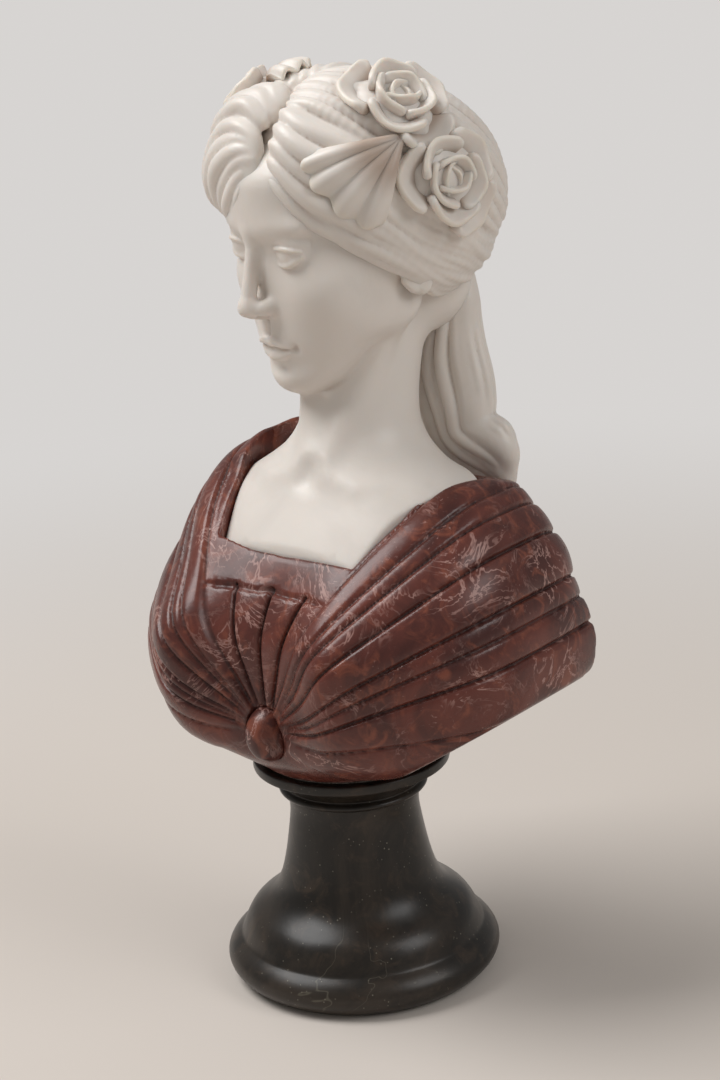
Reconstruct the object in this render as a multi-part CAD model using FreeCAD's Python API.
import FreeCAD, Part
import math
import os

# A marble bust of a woman: a turned dark socle, a bodice of red marble carved in pleats that
# fan out from a round brooch, and a head and chest of white marble that plug into the bodice.
# A steel tie rod holds the socle to the bodice, and a steel dowel holds the chest in its well.
# Millimetres.  +Z is up, -Y is the front, +X is the figure's left.
# The origin is the centre of the foot's underside.

V = FreeCAD.Vector
UP = V(0, 0, 1)

# ---- socle: a turned column with a round foot, a flared skirt, a bead and a collar ----
FOOT_R = 70.3            # widest radius of the rounded foot
FOOT_CONTACT_R = 62.0    # radius of the flat that stands on the table
FOOT_H = 21.0            # height of the rounded foot
STEP_R = 62.5            # radius of the step above the foot
SKIRT_SHOULDER_R = 56.5  # radius where the skirt turns inwards
SKIRT_SHOULDER_Z = 33.0  # height of that turn
SKIRT_R = 41.0           # radius in the hollow of the skirt
SKIRT_Z = 49.0           # height of that hollow
WAIST_R = 33.3           # radius of the column's waist
WAIST_Z = 84.0           # height of the waist
NECK_R = 33.9            # radius just under the bead
BEAD_ROOT_R = 35.3       # radius at the bead's root
BEAD_R = 38.0            # radius of the bead below the collar
BEAD_Z = 98.0            # height of the bead's lower edge
BEAD_H = 5.0             # height of the bead
COLLAR_R = 50.0          # radius of the collar under the bodice
COLLAR_H = 5.0           # height of the collar's straight band
COVE_R = 43.0            # radius in the cove under the collar
COVE_DROP = 3.0          # how far that point lies below the collar's band
SOCLE_H = 118.0          # height of the socle

# ---- joint between socle and bodice ----
BED_T = 1.0              # thickness of each bed of cement
BED_INSET = 3.0          # how far a bed stays back from the joint's edge
ROD_R = 4.0              # radius of the tie rod
ROD_HOLE_R = 4.5         # radius of its hole in both stones
ROD_SETTING = 36.0       # how deep the rod is set in the bodice
ROD_END_GAP = 0.8        # space above the rod in its hole
ROD_TAIL = 3.0           # rod that shows below the nut
POCKET_R = 13.0          # radius of the pocket under the socle
POCKET_DEPTH = 16.0      # depth of that pocket
NUT_FLATS = 13.0         # size of the nut across its flats
NUT_H = 6.5              # height of the nut
NUT_BORE_GAP = 0.15      # gap between nut and rod
WASHER_R = 11.0          # radius of the washer
WASHER_T = 2.0           # thickness of the washer

# ---- bodice: level sections, measured up from the seat on the socle ----
SEAT_R = 48.0            # radius of the seat
FRONT_ROUNDNESS = 0.8    # 1 is an oval, less is squarer
BACK_ROUNDNESS = 0.5
BACK_CUT = 62.0          # distance of the flat back behind the middle
# height, half width, front, back, middle, and how far the breasts stand out
BODICE_SECTIONS = [
    (12.0, 74.0, -60.0, 66.0, 1.0, 3.0),
    (31.0, 103.0, -65.0, 90.0, 5.0, 10.0),
    (56.0, 111.0, -67.0, 110.0, 8.0, 15.0),
    (81.0, 109.0, -65.0, 84.0, 10.0, 17.0),
    (106.0, 101.0, -50.0, 77.0, 12.0, 8.0),
    (126.0, 88.0, -32.0, 69.0, 16.0, 0.0),
    (137.0, 78.0, -16.0, 62.0, 22.0, 0.0),
    (146.0, 62.0, 0.0, 52.0, 28.0, 0.0),
]
# further out than any of the bodice, so that what cuts it passes right through
BEYOND = 1.5 * max(half_width for _, half_width, *_ in BODICE_SECTIONS)
BREAST_X = 52.0          # each breast's distance from the middle
BREAST_W = 27.0          # breadth of each breast's swell
HEM_IN_X = 46.0          # where the slanted hem starts
HEM_OUT_X = 105.0        # where the hem meets the arm
HEM_RISE = 38.0          # how far it rises between the two

# ---- pleats: narrow grooves that fan out from the brooch ----
FAN_H = 29.0             # height of the fan's centre above the seat
PLEAT_ANGLES = [19.4, 31.4, 41.2, 49.5]     # degrees above level, on each side
STRAP_ANGLE = 62.0       # groove along the inner edge of each strap
GORE_ANGLES = [73.0, 90.0, 107.0]           # the upright pleats below the neckline
PLEAT_W = 2.0            # width of a groove
PLEAT_DEPTH = 2.6        # depth of a groove
PLEAT_START = 16.0       # where a groove starts, from the fan's centre
BAND_H = 98.0            # height of the groove under the neckline's band, above the seat
BAND_X = 37.0            # half length of that groove

# ---- neckline: an upright well that the chest plugs into ----
WELL_FLOOR_H = 71.0      # height of the well's floor above the seat
WELL_FRONT = 39.0        # distance of the front wall before the middle
WELL_FRONT_X = 41.0      # half width of the front wall
WELL_SIDE_X = 66.0       # half width of the well at its widest
WELL_SIDE_Y = 34.0       # where it is widest
WELL_SHOULDER_X = 57.0   # half width level with the middle
WELL_BACK = 53.0         # distance of the back wall
WELL_BACK_X = 36.0       # half width of the back wall
WELL_BACK_ROUND = 2.0    # how far the back wall's ends come forwards
WELL_TOP_H = 170.0       # a height above every strap
CHEST_GAP = 0.4          # gap between the chest's plug and the well
DOWEL_R = 4.0            # radius of the chest's dowel
DOWEL_HOLE_GAP = 0.3     # gap around it
DOWEL_DEPTH = 24.0       # how deep it goes into each stone
DOWEL_Y = 10.0           # its place behind the middle
DOWEL_END_GAP = 0.6      # space past each end

# ---- brooch: a domed oval button in a shallow seat ----
BROOCH_W = 21.0
BROOCH_H = 27.0
BROOCH_Y = -73.0         # place of the dome's crown
BROOCH_DOME = 4.0        # height of the dome
DOME_SHOULDER = 0.55     # a point of the dome: its share of the radius
DOME_SHOULDER_DROP = 0.22                   # and its share of the dome's height
BROOCH_RIM = 10.0        # depth of the upright rim behind it
BROOCH_GAP = 0.3         # gap between the brooch and its seat

# ---- chest and neck: level sections, measured up from the well's floor ----
# height, half width, front, back
CHEST_SECTIONS = [
    (20.0, 82.0, -56.0, 66.0),
    (38.0, 80.0, -45.0, 63.0),
    (56.0, 73.0, -34.0, 59.0),
    (74.0, 50.0, -20.0, 54.0),
    (92.0, 31.0, -9.0, 53.0),
    (110.0, 27.5, -4.0, 56.0),
    (128.0, 27.0, 0.0, 61.0),
    (146.0, 28.0, 6.0, 68.0),
    (164.0, 30.0, 14.0, 74.0),
]

# ---- head: its own frame has the origin between the ears at eye level ----
HEAD_H = 200.0           # height of that origin above the well's floor
HEAD_Y = 31.0            # its place behind the middle
HEAD_TURN = 18.0         # degrees turned to the figure's right
HEAD_NOD = 13.0          # degrees nodded down
# height, half width, front, back
HEAD_SECTIONS = [
    (-75.0, 13.5, -62.0, -36.0),
    (-65.0, 24.0, -65.0, -14.0),
    (-54.5, 31.5, -65.0, 8.0),
    (-44.0, 37.5, -64.5, 26.0),
    (-33.5, 41.0, -63.5, 39.0),
    (-20.0, 45.0, -62.0, 50.0),
    (-7.0, 46.5, -60.5, 56.0),
    (7.0, 47.5, -60.5, 60.0),
    (20.0, 47.5, -61.0, 62.0),
    (32.0, 45.0, -58.0, 60.0),
    (43.0, 39.0, -50.0, 54.0),
]
# height, half width and reach of the nose
NOSE_SECTIONS = [
    (8.0, 4.0, -63.0),
    (-5.0, 5.5, -68.5),
    (-18.0, 7.5, -74.5),
    (-30.0, 9.5, -76.0),
]
NOSE_ROOT = -52.0        # depth at which the nose is rooted in the face
EAR_X = 46.0
EAR_Y = 7.0
EAR_Z = -20.0
EAR_R = 8.5              # radius of the ear's rim, measured forwards
EAR_TALL = 1.5           # how much taller than broad the ear is
EAR_RIM = 3.8            # radius of the rim's section

# ---- hair: a cap on a slanted hairline, with rolls that sweep back from the parting ----
HAIR_CENTRE = (0.0, 12.3, 7.7)
HAIR_SEMI_X = 56.0       # half width of the cap
HAIR_SEMI_Y = 69.0       # half length of the cap along the hairline
HAIR_SEMI_Z = 52.0       # rise of the cap above the hairline
HAIR_SLANT = 38.0        # degrees by which the cap falls towards the nape
HAIR_DROP = 35.0         # how far the cap comes down past its middle, behind the ears
HAIRLINE_Y = 66.0        # the hairline over the brow: distance before the cap's middle,
HAIRLINE_Z = 14.0        # drop below the cap's middle,
HAIRLINE_FALL = 25.0     # and fall from there to the ear, in degrees
# rise at the parting and at the nape in degrees, thickness at the parting, temple and nape
ROLLS = [
    (-9.0, -29.0, 9.0, 11.0, 10.0),
    (13.0, 3.0, 9.0, 10.0, 9.0),
]
ROLL_STATIONS = 7
PARTING = 7.0            # degrees from the parting to the first ring of a roll
ROLL_SINK = 0.35         # share of its radius by which a roll is sunk in the cap

# ---- the lock of hair behind the neck: place and size of each section ----
# x, y and height above the well's floor, half width, half thickness
LOCK_SECTIONS = [
    (12.0, 84.0, 186.0, 17.0, 13.0),
    (17.0, 82.0, 158.0, 20.5, 14.0),
    (20.0, 80.0, 130.0, 22.0, 14.0),
    (21.0, 79.0, 100.0, 23.0, 13.0),
    (30.0, 78.0, 76.0, 17.0, 11.0),
    (38.0, 76.0, 62.0, 8.0, 6.0),
]

# ---- flowers: cupped roses and ribbed leaves pinned over each temple ----
# radius, thickness and height of each ring of petals in a rose
ROSE_RINGS = [(14.5, 5.0, 0.0), (8.2, 3.9, 2.6), (3.1, 2.6, 4.8)]
ROSE_BASE_R = 13.0       # radius of the solid part under the rings
ROSE_BASE_H = 12.0       # height of that part
ROSE_LIFT = 4.0          # how far the outer ring stands off the cap
ROSES = [(66.0, 36.0), (95.0, 11.0), (-68.0, 33.0)]      # bearing and rise over the cap
LEAVES = [((76.0, 20.0), (47.0, -8.0)), ((-62.0, 27.0), (-30.0, 35.0))]     # stalk and tip
LEAF_WIDTH = 40.0
LEAF_STALK = 0.15        # the stalk's width as a share of the rim's
LEAF_RIBS = 4
LEAF_RIB_H = 4.0
LEAF_BACK = 8.0          # thickness of a leaf behind its ribs
LEAF_LIFT = 9.0          # how far a leaf's face stands off the cap

# ---- heights that follow from the sizes above ----
SEAT_Z = SOCLE_H + BED_T
FLOOR_Z = SEAT_Z + WELL_FLOOR_H
FAN_Z = SEAT_Z + FAN_H
PLUG_Z = FLOOR_Z + BED_T


def spline_wire(points):
    """A closed smooth wire through the points."""
    curve = Part.BSplineCurve()
    curve.interpolate(Points=points, PeriodicFlag=True)
    return Part.Wire(curve.toShape())


def signed_power(value, power):
    return math.copysign(abs(value) ** power, value)


def section_wire(z, half_width, front, back, middle, swell, count=24):
    """A level section, squarer behind than in front, with two swells on its front."""
    points = []
    for i in range(count):
        angle = 2 * math.pi * i / count
        roundness = BACK_ROUNDNESS if math.sin(angle) > 0.01 else FRONT_ROUNDNESS
        x = half_width * signed_power(math.cos(angle), roundness)
        depth = signed_power(math.sin(angle), roundness)
        y = middle + (back - middle if depth > 0 else middle - front) * depth
        if depth < 0:
            offset = (abs(x) - BREAST_X) / BREAST_W
            y += swell * depth * math.exp(-offset * offset)
        points.append(V(x, y, z))
    return spline_wire(points)


def oval_from_reach(z, half_width, front, back, count=12):
    """A level oval that reaches from front to back."""
    points = []
    for i in range(count):
        angle = 2 * math.pi * i / count
        points.append(V(half_width * math.cos(angle),
                        (front + back) / 2 + (back - front) / 2 * math.sin(angle), z))
    return spline_wire(points)


def revolve_profile(wire_edges):
    face = Part.Face(Part.Wire(wire_edges))
    return face.revolve(V(0, 0, 0), UP, 360)


def line(a, b):
    return Part.LineSegment(V(a[0], 0, a[1]), V(b[0], 0, b[1])).toShape()


def arc(a, b, c):
    return Part.Arc(V(a[0], 0, a[1]), V(b[0], 0, b[1]), V(c[0], 0, c[1])).toShape()


def smooth(points):
    curve = Part.BSplineCurve()
    curve.interpolate([V(r, 0, z) for r, z in points])
    return curve.toShape()


def make_socle():
    collar_z = SOCLE_H - COLLAR_H
    bead_top = BEAD_Z + BEAD_H
    edges = [
        line((0, 0), (FOOT_CONTACT_R, 0)),
        arc((FOOT_CONTACT_R, 0), (FOOT_R, FOOT_H / 2), (STEP_R, FOOT_H)),
        smooth([
            (STEP_R, FOOT_H),
            (SKIRT_SHOULDER_R, SKIRT_SHOULDER_Z),
            (SKIRT_R, SKIRT_Z),
            (WAIST_R, WAIST_Z),
            (NECK_R, BEAD_Z),
        ]),
        line((NECK_R, BEAD_Z), (BEAD_ROOT_R, BEAD_Z)),
        arc((BEAD_ROOT_R, BEAD_Z), (BEAD_R, BEAD_Z + BEAD_H / 2), (BEAD_ROOT_R, bead_top)),
        arc((BEAD_ROOT_R, bead_top), (COVE_R, collar_z - COVE_DROP), (COLLAR_R, collar_z)),
        line((COLLAR_R, collar_z), (COLLAR_R, SOCLE_H)),
        line((COLLAR_R, SOCLE_H), (0, SOCLE_H)),
        line((0, SOCLE_H), (0, 0)),
    ]
    socle = revolve_profile(edges)
    socle = socle.cut(Part.makeCylinder(ROD_HOLE_R, SOCLE_H))
    return socle.cut(Part.makeCylinder(POCKET_R, POCKET_DEPTH))


def bodice_form(inset):
    """The bodice before its pleats, or the same form set inwards."""
    wires = [oval_from_reach(SEAT_Z, SEAT_R - inset, inset - SEAT_R, SEAT_R - inset)]
    for height, half_width, front, back, middle, swell in BODICE_SECTIONS:
        wires.append(section_wire(SEAT_Z + height, half_width - inset, front + inset,
                                  back - inset, middle, swell))
    return Part.makeLoft(wires, True, False)


def behind(distance):
    """All that lies further back than a distance."""
    size = 3 * BEYOND
    return Part.makeBox(size, size, size, V(-size / 2, distance, 0))


def groove_plate(angle, side):
    """A thin plate that stands on the fan's centre and leans at the pleat's angle."""
    length = BEYOND - PLEAT_START
    plate = Part.makeBox(length, 2 * BEYOND, PLEAT_W,
                         V(PLEAT_START, -BEYOND, -PLEAT_W / 2))
    plate.rotate(V(0, 0, 0), V(0, 1, 0), -angle)
    if side < 0:
        plate = plate.mirror(V(0, 0, 0), V(1, 0, 0))
    plate.translate(V(0, 0, FAN_Z))
    return plate


def gore_plate(angle):
    """A short plate for an upright pleat, which ends at the band's groove."""
    length = BAND_H - FAN_H - PLEAT_START
    plate = Part.makeBox(length, BEYOND, PLEAT_W, V(PLEAT_START, -BEYOND, -PLEAT_W / 2))
    plate.rotate(V(0, 0, 0), V(0, 1, 0), -angle)
    plate.translate(V(0, 0, FAN_Z))
    return plate


def band_plate():
    """A level plate for the groove that marks off the band under the neckline."""
    return Part.makeBox(2 * BAND_X, BEYOND, PLEAT_W,
                        V(-BAND_X, -BEYOND, SEAT_Z + BAND_H - PLEAT_W / 2))


def make_grooves():
    """Every groove as a plate that stops inside the bodice's surface."""
    core = bodice_form(PLEAT_DEPTH).cut(behind(BACK_CUT - PLEAT_DEPTH))
    plates = [band_plate()]
    for side in (1, -1):
        for angle in PLEAT_ANGLES + [STRAP_ANGLE]:
            plates.append(groove_plate(angle, side))
    for angle in GORE_ANGLES:
        plates.append(gore_plate(angle))
    return [plate.cut(core) for plate in plates]


def well_outline(gap):
    """The neckline seen from above: straight in front, swelling to the shoulders, round behind."""
    front = -WELL_FRONT + gap
    corner = V(WELL_FRONT_X - gap, front, 0)
    side = V(WELL_SIDE_X - gap, WELL_SIDE_Y, 0)
    back = V(0, WELL_BACK - gap, 0)
    shoulder = V(WELL_SHOULDER_X - gap, 0, 0)
    back_end = V(WELL_BACK_X, WELL_BACK - gap - WELL_BACK_ROUND, 0)
    half = [corner, shoulder, side, back_end]
    mirrored = [V(-p.x, p.y, 0) for p in half]
    curve = Part.BSplineCurve()
    curve.interpolate(half + [back] + mirrored[::-1])
    front_edge = Part.LineSegment(mirrored[0], corner).toShape()
    return Part.Face(Part.Wire([curve.toShape(), front_edge]))


def well_prism(gap, bottom, top):
    face = well_outline(gap)
    face.translate(V(0, 0, bottom))
    return face.extrude(V(0, 0, top - bottom))


def hem_wedge(side):
    """What is cut away below the slanted hem on one side."""
    inner = V(side * HEM_IN_X, 0, SEAT_Z)
    slope = V(side * (HEM_OUT_X - HEM_IN_X), 0, HEM_RISE)
    outer = inner + slope * 2
    face = Part.Face(Part.makePolygon([inner, outer, V(outer.x, 0, inner.z), inner]))
    face.translate(V(0, -BEYOND, 0))
    return face.extrude(V(0, 2 * BEYOND, 0))


def brooch_solid(gap):
    """The oval button: an upright rim with a shallow dome."""
    scale = FreeCAD.Matrix()
    scale.scale(V(1, 1, (BROOCH_H / 2 + gap) / (BROOCH_W / 2 + gap)))
    radius = BROOCH_W / 2 + gap
    rim_y = BROOCH_Y + BROOCH_DOME
    edges = [
        Part.LineSegment(V(0, BROOCH_Y, 0), V(0, rim_y + BROOCH_RIM, 0)).toShape(),
        Part.LineSegment(V(0, rim_y + BROOCH_RIM, 0), V(radius, rim_y + BROOCH_RIM, 0)).toShape(),
        Part.LineSegment(V(radius, rim_y + BROOCH_RIM, 0), V(radius, rim_y, 0)).toShape(),
        Part.Arc(V(radius, rim_y, 0),
                 V(radius * DOME_SHOULDER, BROOCH_Y + BROOCH_DOME * DOME_SHOULDER_DROP, 0),
                 V(0, BROOCH_Y, 0)).toShape(),
    ]
    solid = Part.Face(Part.Wire(edges)).revolve(V(0, 0, 0), V(0, 1, 0), 360)
    solid = solid.transformGeometry(scale)
    solid.translate(V(0, 0, FAN_Z))
    return solid


def make_bodice():
    bodice = bodice_form(0).cut(make_grooves())
    return bodice.cut([
        well_prism(0, FLOOR_Z, SEAT_Z + WELL_TOP_H),
        hem_wedge(1),
        hem_wedge(-1),
        Part.makeCylinder(ROD_HOLE_R, ROD_SETTING + ROD_END_GAP, V(0, 0, SEAT_Z)),
        Part.makeCylinder(DOWEL_R + DOWEL_HOLE_GAP, DOWEL_DEPTH + DOWEL_END_GAP,
                          V(0, DOWEL_Y, FLOOR_Z - DOWEL_DEPTH - DOWEL_END_GAP)),
        brooch_solid(BROOCH_GAP),
        behind(BACK_CUT),
    ])


def make_chest():
    """The chest and neck, cut to the plug that fills the well."""
    wires = [oval_from_reach(PLUG_Z, *CHEST_SECTIONS[0][1:])]
    for height, half_width, front, back in CHEST_SECTIONS:
        wires.append(oval_from_reach(FLOOR_Z + height, half_width, front, back))
    form = Part.makeLoft(wires, True, False)
    return form.common(well_prism(CHEST_GAP, PLUG_Z, FLOOR_Z + HEAD_H))


def head_placement():
    turn = FreeCAD.Rotation(UP, -HEAD_TURN)
    nod = FreeCAD.Rotation(V(1, 0, 0), HEAD_NOD)
    return FreeCAD.Placement(V(0, HEAD_Y, FLOOR_Z + HEAD_H), turn.multiply(nod))


def scaled_ball(size):
    """A ball scaled to three half sizes, with its poles on the left and on the right."""
    scale = FreeCAD.Matrix()
    scale.scale(V(*size))
    ball = Part.makeSphere(1.0)
    ball.rotate(V(0, 0, 0), V(0, 1, 0), 90)
    return ball.transformGeometry(scale)


def make_ear(side):
    """The rim of an ear, flat against the head."""
    scale = FreeCAD.Matrix()
    scale.scale(V(1, 1, EAR_TALL))
    rim = Part.makeTorus(EAR_R, EAR_RIM, V(0, 0, 0), V(1, 0, 0)).transformGeometry(scale)
    rim.translate(V(side * EAR_X, EAR_Y, EAR_Z))
    return rim


def make_face():
    """The face and skull in the head's own frame, with the nose and the ears."""
    face = Part.makeLoft([oval_from_reach(*section) for section in HEAD_SECTIONS], True, False)
    nose_wires = [oval_from_reach(z, w, reach, NOSE_ROOT) for z, w, reach in NOSE_SECTIONS]
    pieces = [Part.makeLoft(nose_wires, True, False)]
    for side in (1, -1):
        pieces.append(make_ear(side))
    return face.fuse(pieces)


def hair_point(bearing, rise, out=0.0):
    """A point over the cap: bearing 0 is the parting, 180 the nape; rise 90 is the crown."""
    a = math.radians(bearing)
    b = math.radians(rise)
    return V((HAIR_SEMI_X + out) * math.sin(a) * math.cos(b),
             -(HAIR_SEMI_Y + out) * math.cos(a) * math.cos(b),
             (HAIR_SEMI_Z + out) * math.sin(b))


def hair_normal(bearing, rise):
    p = hair_point(bearing, rise)
    normal = V(p.x / HAIR_SEMI_X ** 2, p.y / HAIR_SEMI_Y ** 2, p.z / HAIR_SEMI_Z ** 2)
    return normal.normalize()


def make_roll(rise_front, rise_back, thick_front, thick_side, thick_back, side):
    """One roll of hair from the parting round to the nape, as a loft of rings."""
    def rise_at(share):
        return rise_front + (rise_back - rise_front) * min(1, 2 * share)

    wires = []
    for i in range(ROLL_STATIONS):
        share = i / (ROLL_STATIONS - 1)
        bearing = PARTING + (180 - 2 * PARTING) * share
        if share < 0.5:
            radius = thick_front + (thick_side - thick_front) * share * 2
        else:
            radius = thick_side + (thick_back - thick_side) * (share * 2 - 1)
        here = hair_point(side * bearing, rise_at(share), -radius * ROLL_SINK)
        ahead = (hair_point(side * (bearing + 2), rise_at(share + 0.01))
                 - hair_point(side * (bearing - 2), rise_at(share - 0.01)))
        wires.append(Part.Wire(Part.makeCircle(radius, here, ahead)))
    return Part.makeLoft(wires, True, False)


def make_hair():
    """The cap of hair above the slanted hairline, and the rolls along it."""
    cap = scaled_ball((HAIR_SEMI_X, HAIR_SEMI_Y, HAIR_SEMI_Z))
    size = 4 * HAIR_SEMI_Y
    above_nape = Part.makeBox(size, size, size, V(-size / 2, -size / 2, -HAIR_DROP))
    above_brow = Part.makeBox(size, size, size, V(-size / 2, -size / 4, 0))
    above_brow.rotate(V(0, 0, 0), V(1, 0, 0), -HAIRLINE_FALL)
    above_brow.translate(V(0, -HAIRLINE_Y, -HAIRLINE_Z))
    cap = cap.common(above_nape).common(above_brow)
    rolls = []
    for roll in ROLLS:
        for side in (1, -1):
            rolls.append(make_roll(*roll, side))
    return cap.fuse(rolls)


def make_rose(bearing, rise):
    """A rose of nested rings of petals on a round base, set on the hair."""
    base = Part.makeCylinder(ROSE_BASE_R, ROSE_BASE_H, V(0, 0, -ROSE_BASE_H))
    rings = []
    for radius, thickness, height in ROSE_RINGS:
        rings.append(Part.makeTorus(radius, thickness, V(0, 0, height)))
    rose = base.fuse(rings)
    normal = hair_normal(bearing, rise)
    place = hair_point(bearing, rise, ROSE_LIFT)
    rose.Placement = FreeCAD.Placement(place, FreeCAD.Rotation(UP, normal))
    return rose


def make_leaf(stalk, tip):
    """A fan-shaped leaf with sharp ribs, which lies on the hair from its stalk to its tip."""
    start = hair_point(*stalk, LEAF_LIFT)
    end = hair_point(*tip, LEAF_LIFT)
    along = end - start
    length = along.Length
    front = []
    back = []
    for i in range(2 * LEAF_RIBS + 1):
        x = LEAF_WIDTH * (i / (2 * LEAF_RIBS) - 0.5)
        front.append(V(x, length, LEAF_RIB_H if i % 2 else 0))
        back.append(V(x, length, -LEAF_BACK))
    outline = front + back[::-1] + [front[0]]
    narrow = [V(p.x * LEAF_STALK, 0, p.z) for p in outline]
    leaf = Part.makeLoft([Part.makePolygon(narrow), Part.makePolygon(outline)], True, True)
    normal = hair_normal((stalk[0] + tip[0]) / 2, (stalk[1] + tip[1]) / 2)
    leaf.Placement = FreeCAD.Placement(
        start, FreeCAD.Rotation(along.cross(normal), along, normal, "YZX"))
    return leaf


def make_lock():
    """The lock of hair that hangs behind the neck."""
    wires = []
    for x, y, height, half_width, half_depth in LOCK_SECTIONS:
        wire = oval_from_reach(FLOOR_Z + height, half_width, y - half_depth, y + half_depth)
        wire.translate(V(x, 0, 0))
        wires.append(wire)
    return Part.makeLoft(wires, True, False)


def make_head_and_chest():
    """The white block: chest, neck, head, hair, lock and flowers, carved in one."""
    head = head_placement()
    hair_frame = head.multiply(FreeCAD.Placement(
        V(*HAIR_CENTRE), FreeCAD.Rotation(V(1, 0, 0), -HAIR_SLANT)))
    pieces = [make_face()]
    pieces[0].Placement = head
    crown = [make_hair()]
    for bearing, rise in ROSES:
        crown.append(make_rose(bearing, rise))
    for stalk, tip in LEAVES:
        crown.append(make_leaf(stalk, tip))
    for piece in crown:
        piece.Placement = hair_frame.multiply(piece.Placement)
        pieces.append(piece)
    pieces.append(make_lock())
    block = make_chest().fuse(pieces)
    bore = Part.makeCylinder(DOWEL_R + DOWEL_HOLE_GAP, DOWEL_DEPTH + DOWEL_END_GAP + BED_T,
                             V(0, DOWEL_Y, FLOOR_Z))
    return block.cut(bore)


def make_socle_bed():
    bed = Part.makeCylinder(SEAT_R - BED_INSET, BED_T, V(0, 0, SOCLE_H))
    return bed.cut(Part.makeCylinder(ROD_HOLE_R, BED_T, V(0, 0, SOCLE_H)))


def make_chest_bed():
    bed = well_prism(BED_INSET, FLOOR_Z, PLUG_Z)
    hole = Part.makeCylinder(DOWEL_R + DOWEL_HOLE_GAP, BED_T, V(0, DOWEL_Y, FLOOR_Z))
    return bed.cut(hole)


def make_washer():
    z = POCKET_DEPTH - WASHER_T
    washer = Part.makeCylinder(WASHER_R, WASHER_T, V(0, 0, z))
    return washer.cut(Part.makeCylinder(ROD_HOLE_R, WASHER_T, V(0, 0, z)))


def make_nut():
    z = POCKET_DEPTH - WASHER_T - NUT_H
    corner = NUT_FLATS / 2 / math.cos(math.pi / 6)
    corners = []
    for i in range(7):
        angle = math.radians(60 * i)
        corners.append(V(corner * math.cos(angle), corner * math.sin(angle), z))
    nut = Part.Face(Part.makePolygon(corners)).extrude(V(0, 0, NUT_H))
    return nut.cut(Part.makeCylinder(ROD_R + NUT_BORE_GAP, NUT_H, V(0, 0, z)))


def make_tie_rod():
    bottom = POCKET_DEPTH - WASHER_T - NUT_H - ROD_TAIL
    return Part.makeCylinder(ROD_R, SEAT_Z + ROD_SETTING - bottom, V(0, 0, bottom))


def make_chest_dowel():
    bottom = FLOOR_Z - DOWEL_DEPTH
    return Part.makeCylinder(DOWEL_R, 2 * DOWEL_DEPTH + BED_T, V(0, DOWEL_Y, bottom))


def main():
    nodes = {
        "socle": make_socle(),
        "socle_bed": make_socle_bed(),
        "bodice": make_bodice(),
        "brooch": brooch_solid(0),
        "chest_bed": make_chest_bed(),
        "head_and_chest": make_head_and_chest(),
        "tie_rod": make_tie_rod(),
        "tie_nut": make_nut(),
        "tie_washer": make_washer(),
        "chest_dowel": make_chest_dowel(),
    }
    os.makedirs("parts", exist_ok=True)
    for name, shape in nodes.items():
        shape.exportStep("parts/" + name + ".step")


main()
